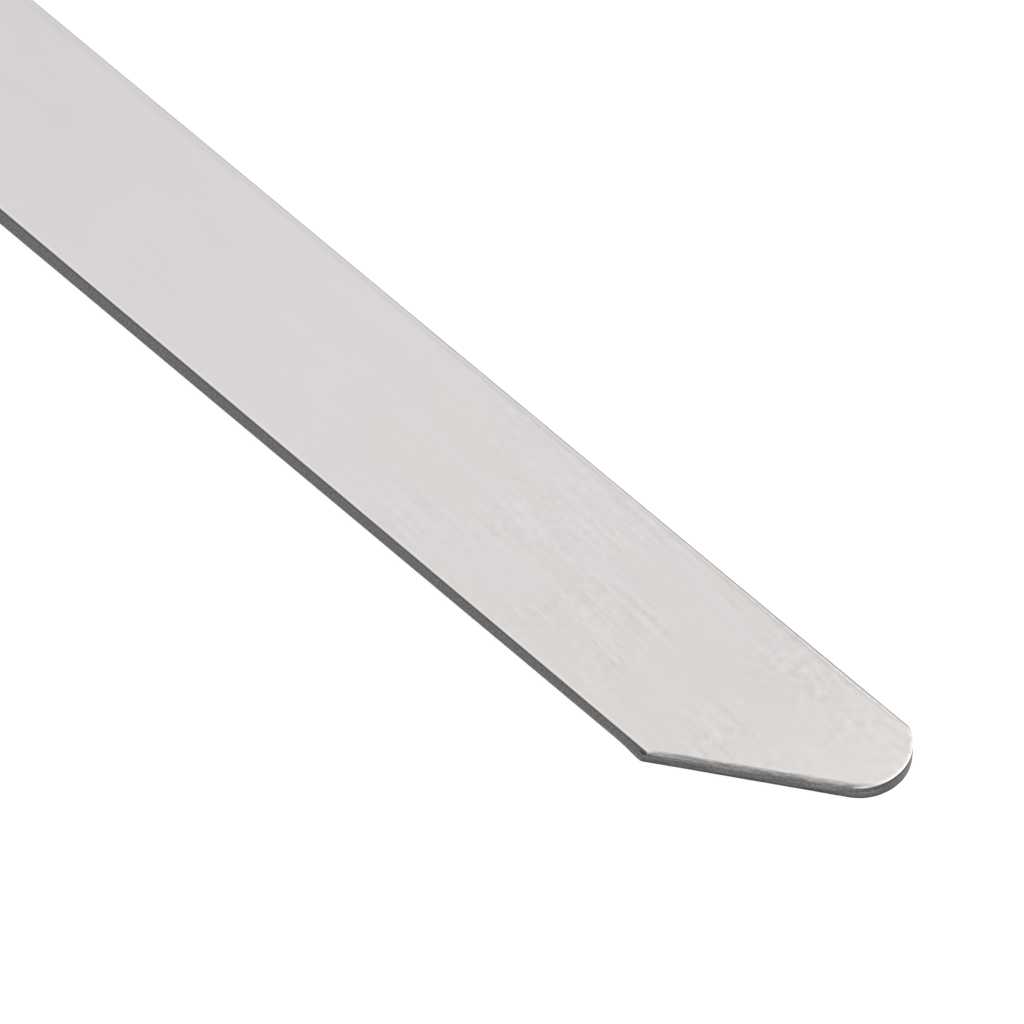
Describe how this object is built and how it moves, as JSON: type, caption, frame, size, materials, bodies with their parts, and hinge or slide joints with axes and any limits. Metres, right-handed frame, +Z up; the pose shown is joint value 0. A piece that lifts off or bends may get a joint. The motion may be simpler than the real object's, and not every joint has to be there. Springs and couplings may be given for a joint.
{
  "type": "spudger",
  "caption": "Flat steel prying bar with a slanted, rounded nose at one end and a thin chisel edge at the other.",
  "frame": {"origin": "under the middle of the bar, on the surface that it lies on", "axes": "+X along the bar to the slanted nose, +Y to the nose's long side, +Z up out of the face with the ground bevel"},
  "size_m": [0.15, 0.01, 0.0012],
  "materials": {
    "steel": "satin, fine grain along the bar"
  },
  "bodies": {
    "root": {"spudger_bar": "steel"}
  },
  "joints": []
}
